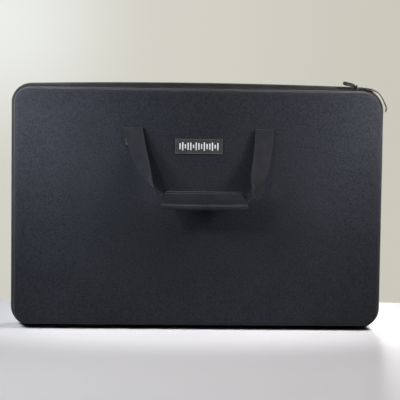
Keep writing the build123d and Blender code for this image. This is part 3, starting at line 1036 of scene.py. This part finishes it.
def grip():
    """The padded wrap over the strap, its hem, seam and stitches, and its flap below."""
    pad = wrap_sheet("grip_wrap", GRIP_TOP, 0.0785, 0.0095, 0.0010)
    cloth_layer(pad, 0.0030, -1.0, GRIP)
    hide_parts("grip_pad")
    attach(pad, "front_handle")
    hem = skin("grip_hem", [on_grip(y, z, 0.0885, HEM_DROOP) for y, z in GRIP_HEM])
    cloth_layer(hem, 0.0011, 1.0, HEM)
    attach(hem, "front_handle")
    for name, y, z, half_length, droop in GRIP_ROWS:
        row = stitches(name, on_grip(y, z, half_length, droop), lambda way: GRIP_UP)
        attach(row, "front_handle")
    seam = []
    for k in range(SEAM_STATIONS + 1):
        rise = 0.0050 * math.sin(math.pi * (0.12 + 0.80 * k / SEAM_STATIONS))
        seam.append(GRIP_FRAME @ Vector((0.0012, 0.026 - 0.0512 * k / SEAM_STATIONS, 0.0036 + rise)))
    welt = tube("grip_seam", seam, SEAM_RADIUS)
    finish_piece(welt, HEM, 60)
    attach(welt, "front_handle")
    flap = wrap_sheet("grip_wrap_flap", GRIP_UNDER, 0.0735, 0.0, -0.0006)
    cloth_layer(flap, 0.0026, 1.0, GRIP)
    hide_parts("grip_flap")
    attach(flap, "flap")
    for node in ("loop_strip", "hook_strip"):
        paint(node, HOOKS)


# ---------------------------------------------------------------- sliders and tabs

LEFT_SLIDER_X = 0.3295
RIGHT_SLIDER_X = 0.34215
LEFT_PIN_HEIGHT = 0.0110
RIGHT_PIN_HEIGHT = 0.0057
PIN_X = 0.0034
PIN_Y = 0.0017
BODY_HALF = 0.0064
BODY_Y = 0.0019
TAB_START = 0.0045
TAB_RIBS = 9
LEFT_TAB_RISE = 14
RIGHT_TAB_DROP = 12


def band_frame(x):
    """The zip's local frame on its straight top run: X along it, Y across to the base, Z outwards."""
    grow, depth = BAND_LID + BAND_WAY * (BAND_WIDTH / 2)
    origin = Vector((x, PARTING_Y + depth, FACE_TOP + grow))
    across = Vector((0, BAND_WAY.y, BAND_WAY.x))
    out = Vector((0, -BAND_WAY.x, BAND_WAY.y))
    return Matrix.Translation(origin) @ Matrix((Vector((1, 0, 0)), across, out)).transposed().to_4x4()


def placed(piece, matrix):
    """Moves a piece's mesh into place."""
    piece.data.transform(matrix)
    piece.data.update()
    return piece


def slider(side, x, pin_height):
    """A cast slider: a waisted body, a bridge over it and a pin through the bridge."""
    body = block(side + "_slider_body", (-BODY_HALF, -0.0004, 0.0019), (BODY_HALF, 0.0042, 0.0036))
    edit()
    bpy.ops.mesh.subdivide(number_cuts=3)
    mesh = bmesh.from_edit_mesh(body.data)
    for vert in mesh.verts:
        share = vert.co.x / BODY_HALF
        waist = 1.0 - 0.22 * (1 - share ** 2)
        taper = 1.0 - 0.25 * max(0.0, -share)
        vert.co.y = BODY_Y + (vert.co.y - BODY_Y) * waist * taper
    bmesh.update_edit_mesh(body.data)
    leave()
    round_edges(body, 0.0005, 3)
    smooth_more(body)
    bridge = block(side + "_slider_bridge", (-0.0034, 0.0002, 0.0034), (0.0050, 0.0034, pin_height + 0.0014))
    select_faces(bridge, lambda c, n: n.z > 0.9)
    bpy.ops.transform.resize(value=(0.62, 0.9, 1), center_override=(PIN_X, 0.0018, pin_height))
    leave()
    round_edges(bridge, 0.0007, 3)
    fresh()
    spot = (PIN_X, PIN_Y, pin_height)
    turn = (math.radians(90), 0, 0)
    bpy.ops.mesh.primitive_cylinder_add(
        vertices=16, radius=0.0009, depth=0.0046, location=spot, rotation=turn
    )
    pin = settle(named(side + "_slider_pin"))
    round_edges(pin, 0.0002, 2)
    parts = [finish_piece(part, METAL, 40) for part in (body, bridge, pin)]
    made = join(parts, side + "_zip_slider_cast")
    placed(made, band_frame(x))
    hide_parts(side + "_slider")
    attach(made, side + "_zip_slider")


def pull_tab(side, x, pin_height, length, turn, width, thick):
    """A pull tab: a ring on the pin, a neck, and a ribbed grip with a rounded tip."""
    tab = block(side + "_tab", (TAB_START, -width / 2, -thick / 2), (length, width / 2, thick / 2))
    edit()
    bpy.ops.mesh.subdivide(number_cuts=7)
    mesh = bmesh.from_edit_mesh(tab.data)
    for vert in mesh.verts:
        share = (vert.co.x - TAB_START) / (length - TAB_START)
        waist = 0.45 + 0.55 * min(1.0, share / 0.3)
        tip = math.sqrt(max(0.0, 1.0 - max(0.0, (share - 0.8) / 0.2) ** 2)) * 0.45 + 0.55
        rib = math.cos((share * TAB_RIBS) * 2 * math.pi) if 0.3 < share < 0.85 else 0.0
        vert.co.y *= waist * tip
        vert.co.z *= 0.8 + 0.2 * rib
    bmesh.update_edit_mesh(tab.data)
    leave()
    smooth_more(tab)
    fresh()
    bpy.ops.mesh.primitive_torus_add(
        major_radius=0.0019, minor_radius=0.0007, major_segments=24, minor_segments=8,
        rotation=(math.radians(90), 0, 0),
    )
    ring = settle(named(side + "_tab_ring"))
    neck = block(side + "_tab_neck", (0.0018, -0.0011, -0.0008), (0.0066, 0.0011, 0.0008))
    round_edges(neck, 0.0004, 2)
    parts = [finish_piece(part, METAL, 50) for part in (tab, ring, neck)]
    made = join(parts, side + "_zip_pull_tab")
    spot = Matrix.Translation((PIN_X, PIN_Y, pin_height)) @ Matrix.Rotation(math.radians(turn), 4, "Y")
    placed(made, band_frame(x) @ spot)
    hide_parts(side + "_pull_tab")
    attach(made, side + "_tab")


def sliders_and_tabs():
    slider("left", LEFT_SLIDER_X, LEFT_PIN_HEIGHT)
    slider("right", RIGHT_SLIDER_X, RIGHT_PIN_HEIGHT)
    pull_tab("left", LEFT_SLIDER_X, LEFT_PIN_HEIGHT, 0.0300, 180 + LEFT_TAB_RISE, 0.0100, 0.0050)
    pull_tab("right", RIGHT_SLIDER_X, RIGHT_PIN_HEIGHT, 0.0192, RIGHT_TAB_DROP, 0.0066, 0.0024)
    paint("cord_ferrule", METAL)


# Guide points of the cord, out of the ferrule, round the fold and back.
CORD_ROUTE = [
    (0.36805, -0.042075, 0.508216),
    (0.3760, -0.0419, 0.5060),
    (0.3834, -0.0426, 0.4996),
    (0.3896, -0.0428, 0.4906),
    (0.3946, -0.0426, 0.4804),
    (0.3989, -0.0420, 0.4704),
    (0.3972, -0.0420, 0.4626),
    (0.3966, -0.0482, 0.4622),
    (0.3986, -0.0480, 0.4702),
    (0.3941, -0.0474, 0.4803),
    (0.3890, -0.0470, 0.4902),
    (0.3829, -0.0464, 0.4990),
    (0.3757, -0.0450, 0.5050),
    (0.36805, -0.044417, 0.506342),
]


def loop_cord():
    """The doubled pull cord of the right tab, out of its ferrule and back into it."""
    data = bpy.data.curves.new("loop_cord", "CURVE")
    data.dimensions = "3D"
    data.bevel_depth = 0.0013
    data.bevel_resolution = 3
    data.resolution_u = 6
    spline = data.splines.new("NURBS")
    spline.points.add(len(CORD_ROUTE) - 1)
    for spot, place in zip(spline.points, CORD_ROUTE):
        spot.co = (*place, 1)
    spline.order_u = 3
    spline.use_endpoint_u = True
    data.materials.append(CORD)
    piece = put("loop_cord", data)
    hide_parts("pull_cord")
    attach(piece, "right_tab")


# ---------------------------------------------------------------- badge and inside


FRAME_WIDTH = 0.0024
BAR_COUNT = 15
BAR_PITCH = 0.0056
BAR_HALF_WIDTH = 0.0013


def badge():
    """A rubber badge with a raised frame round a row of plain bars of changing height."""
    low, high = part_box("badge_plate")
    plate = block("badge", (low[0], low[1] + 0.0002, low[2]), (high[0], high[1], high[2]))
    select_faces(plate, lambda c, n: n.y < -0.9)
    bpy.ops.mesh.inset(thickness=0.0004, depth=0)
    bpy.ops.mesh.inset(thickness=0.0014, depth=0)
    bpy.ops.mesh.inset(thickness=0.0005, depth=-0.0009)
    leave()
    round_edges(plate, 0.0005, 3)
    finish_piece(plate, RAISED, 40)
    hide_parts("badge_plate")
    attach(plate, "lid")
    near = (low[0] + FRAME_WIDTH, low[1] + 0.0007, low[2] + FRAME_WIDTH)
    far = (high[0] - FRAME_WIDTH, low[1] + 0.0016, high[2] - FRAME_WIDTH)
    window = block("badge_face", near, far)
    round_edges(window, 0.0002, 1)
    finish_piece(window, RUBBER, 40)
    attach(window, "lid")
    bars = []
    middle = (low[2] + high[2]) / 2
    for number in range(BAR_COUNT):
        tall = (6.0 + 11.0 * abs(math.sin(1.15 * number + 0.6))) * MM
        x = (low[0] + high[0]) / 2 + (number - (BAR_COUNT - 1) / 2) * BAR_PITCH
        near = (x - BAR_HALF_WIDTH, low[1] + 0.0002, middle - tall / 2)
        far = (x + BAR_HALF_WIDTH, low[1] + 0.0010, middle + tall / 2)
        bar = block(f"bar_{number}", near, far)
        round_edges(bar, 0.0003, 2)
        finish_piece(bar, PRINT, 40)
        bars.append(bar)
    made = join(bars, "badge_print_bars")
    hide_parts("badge_bars")
    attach(made, "lid")


FOAM_ROUND = 0.003
CRATE_SQUARES = (110, 70)
CRATE_PITCH = 0.036
CRATE_DEPTH = 0.008
CRATE_FADE = 0.012


def foam_block(name, node, body):
    """A cut foam block with softened edges."""
    low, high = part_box(node)
    piece = block(name, low, high)
    edit()
    bpy.ops.mesh.bevel(offset=FOAM_ROUND, segments=3, affect="EDGES")
    leave()
    finish_piece(piece, FOAM, 50)
    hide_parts(node)
    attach(piece, body)


def egg_crate():
    """The lid's foam pad, waved like an egg box towards the controller."""
    low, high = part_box("lid_foam_pad")
    low = Vector(low)
    high = Vector(high)
    size = high - low
    fresh()
    middle = ((low.x + high.x) / 2, low.y, (low.z + high.z) / 2)
    bpy.ops.mesh.primitive_grid_add(
        x_subdivisions=CRATE_SQUARES[0], y_subdivisions=CRATE_SQUARES[1], size=1, location=middle,
        rotation=(math.radians(90), 0, 0),
    )
    piece = named("lid_egg_crate_foam")
    piece.scale = (size.x, size.z, 1)
    settle(piece)
    edit()
    bpy.ops.mesh.extrude_region_move(TRANSFORM_OT_translate={"value": (0, size.y, 0)})
    mesh = bmesh.from_edit_mesh(piece.data)
    for vert in mesh.verts:
        if vert.co.y > low.y + size.y / 2:
            edge = min(vert.co.x - low.x, high.x - vert.co.x, vert.co.z - low.z, high.z - vert.co.z)
            turns = 2 * math.pi / CRATE_PITCH
            wave = math.sin(vert.co.x * turns) * math.sin(vert.co.z * turns)
            fade = min(1.0, edge / CRATE_FADE)
            vert.co.y -= (1 - wave) * 0.5 * CRATE_DEPTH * fade + (1 - fade) * FOAM_ROUND
    bmesh.update_edit_mesh(piece.data)
    bpy.ops.mesh.select_all(action="SELECT")
    bpy.ops.mesh.normals_make_consistent(inside=False)
    leave()
    finish_piece(piece, FOAM, 60)
    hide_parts("lid_foam_pad")
    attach(piece, "lid")


def inside():
    for name in ("top", "bottom", "left", "right"):
        foam_block(name + "_bolster", name + "_foam_bolster", "base")
    foam_block("floor_pad", "base_floor_pad", "base")
    egg_crate()
    for node in ("lid_handle_plates", "base_handle_plates"):
        paint(node, STIFFENER)


# ---------------------------------------------------------------- room, light and camera


def room():
    """A pale floor, with the pale world behind it as the wall."""
    fresh()
    bpy.ops.mesh.primitive_plane_add(size=1, location=(0, -2.68, -0.0005))
    floor = named("studio_floor")
    floor.scale = (12, 6, 1)
    settle(floor)
    finish = Finish("studio_floor")
    _, vector = finish.coordinates()
    tone = finish.noise(vector, 1.2, 2.0, 0.5)
    colour = finish.blend(tone, (0.78, 0.76, 0.765, 1), (0.83, 0.81, 0.815, 1))
    finish.done(colour, 0.6, level=0.2)
    floor.data.materials.append(finish.material)


# The wall behind the case is a backdrop that only the camera sees, painted with light: palest near the way of
# WALL_GLOW_WAY, darker and warmer further from it.
WALL_GLOW_WAY = Vector((-0.145, 0.985, 0.10)).normalized()
WALL_PAINTED_LIGHT_STOPS = ((0.0, (0.84, 0.86, 0.82, 1)), (0.15, (0.66, 0.645, 0.575, 1)), (0.36, (0.60, 0.585, 0.505, 1)))
AROUND = 0.006
# Name, place, aim, size, power in watts, colour and spread in degrees.
LAMPS = (
    ("key", (-0.95, -1.25, 1.15), (-0.2, -0.09, 0.35), (0.2, 0.2), 7.2, (0.95, 0.98, 1.0), 120),
    ("left_strip", (-0.62, -0.40, 0.62), (-0.36, -0.09, 0.42), (0.2, 0.2), 1.75, (0.88, 0.94, 1.0), 80),
    ("right_strip", (0.62, -0.40, 0.62), (0.36, -0.09, 0.42), (0.2, 0.2), 1.75, (1.0, 0.97, 0.99), 80),
    ("right_fill", (1.2, -0.9, 1.8), (0.4, -0.7, 0), (0.6, 0.6), 7.3, (1.0, 0.99, 0.98), 180),
    ("overhead", (0.5, -0.5, 2.2), (0.3, -0.6, 0), (1.4, 1.0), 18, (1.0, 0.98, 0.99), 180),
    ("rear", (0.45, 1.55, 0.40), (0, 0.05, 0.27), (0.5, 0.3), 5.0, (1.0, 0.99, 0.98), 60),
)
CAMERA_PLACE = Vector((-0.080, -2.40, 0.409))
CAMERA_AIM = Vector((0.0037, -0.09, 0.273))
CAMERA_LENS = 100.3
CAMERA_ROLL = math.radians(0.75)


def lights():
    """Light from the upper left, both sides, above and behind, and a backdrop wall with painted light, paler
    towards its upper left.
    """
    bpy.context.scene.view_settings.view_transform = "Standard"
    world = bpy.data.worlds.new("studio")
    bpy.context.scene.world = world
    world.use_nodes = True
    tree = world.node_tree
    tree.nodes.clear()

    def add(kind, **settings):
        made = tree.nodes.new(kind)
        for name, value in settings.items():
            setattr(made, name, value)
        return made

    way = add("ShaderNodeTexCoord")
    from_corner = add("ShaderNodeVectorMath", operation="DISTANCE")
    tree.links.new(way.outputs["Generated"], from_corner.inputs[0])
    from_corner.inputs[1].default_value = WALL_GLOW_WAY
    ramp = add("ShaderNodeValToRGB")
    ramp.color_ramp.interpolation = "EASE"
    ramp.color_ramp.elements.new(0.5)
    for element, (place, shade) in zip(ramp.color_ramp.elements, WALL_PAINTED_LIGHT_STOPS):
        element.position = place
        element.color = shade
    tree.links.new(from_corner.outputs["Value"], ramp.inputs[0])
    wall = add("ShaderNodeBackground")
    tree.links.new(ramp.outputs[0], wall.inputs["Color"])
    around = add("ShaderNodeBackground")
    around.inputs["Color"].default_value = (0.97, 0.97, 1.0, 1)
    around.inputs["Strength"].default_value = AROUND
    seen = add("ShaderNodeLightPath")
    mix = add("ShaderNodeMixShader")
    tree.links.new(seen.outputs["Is Camera Ray"], mix.inputs[0])
    tree.links.new(around.outputs[0], mix.inputs[1])
    tree.links.new(wall.outputs[0], mix.inputs[2])
    out = add("ShaderNodeOutputWorld")
    tree.links.new(mix.outputs[0], out.inputs[0])

    def area(name, place, target, size, power, colour, spread):
        data = bpy.data.lights.new(name, "AREA")
        data.shape = "RECTANGLE"
        data.size, data.size_y = size
        data.energy = power
        data.color = colour
        data.spread = math.radians(spread)
        lamp = put(name, data)
        lamp.location = place
        lamp.rotation_euler = (Vector(target) - Vector(place)).to_track_quat("-Z", "Y").to_euler()
        lamp.visible_camera = False

    for lamp in LAMPS:
        area(*lamp)


def camera():
    data = bpy.data.cameras.new("camera")
    data.sensor_width = 36
    data.lens = CAMERA_LENS
    made = put("camera", data)
    aimed = (CAMERA_AIM - CAMERA_PLACE).to_track_quat("-Z", "Y")
    made.rotation_euler = (aimed @ Matrix.Rotation(CAMERA_ROLL, 3, "Z").to_quaternion()).to_euler()
    made.location = CAMERA_PLACE
    bpy.context.scene.camera = made


shells()
zip_and_rims()
hinge_cloth()
zip_ends()
handles()
grip()
sliders_and_tabs()
loop_cord()
badge()
inside()
room()
lights()
camera()
